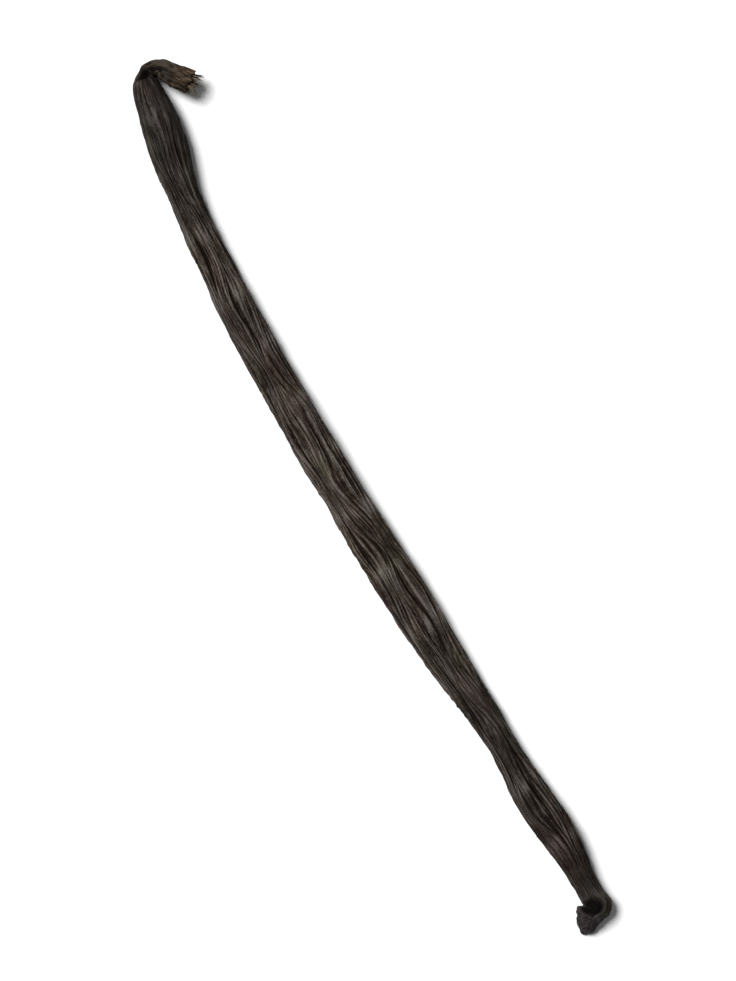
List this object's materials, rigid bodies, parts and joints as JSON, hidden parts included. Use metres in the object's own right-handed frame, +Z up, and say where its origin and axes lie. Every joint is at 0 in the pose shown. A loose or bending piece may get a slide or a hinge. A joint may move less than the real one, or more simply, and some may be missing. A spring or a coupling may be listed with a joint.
{
  "type": "vanilla pod",
  "caption": "Long, flattened, lengthwise wrinkled seed pod with a hooked, torn stalk at one end and a small bent knob at the other.",
  "frame": {"origin": "on the surface that the pod lies on, under its middle line, half way along it", "axes": "+Y along the pod towards its stalk, +X towards the side that the stalk hooks to, +Z up"},
  "size_m": [0.0169, 0.168, 0.0045],
  "materials": {
    "pod_skin": "near-black brown cured skin with a faint oily sheen on its ridges"
  },
  "bodies": {
    "root": {"pod": "pod_skin"}
  },
  "joints": []
}
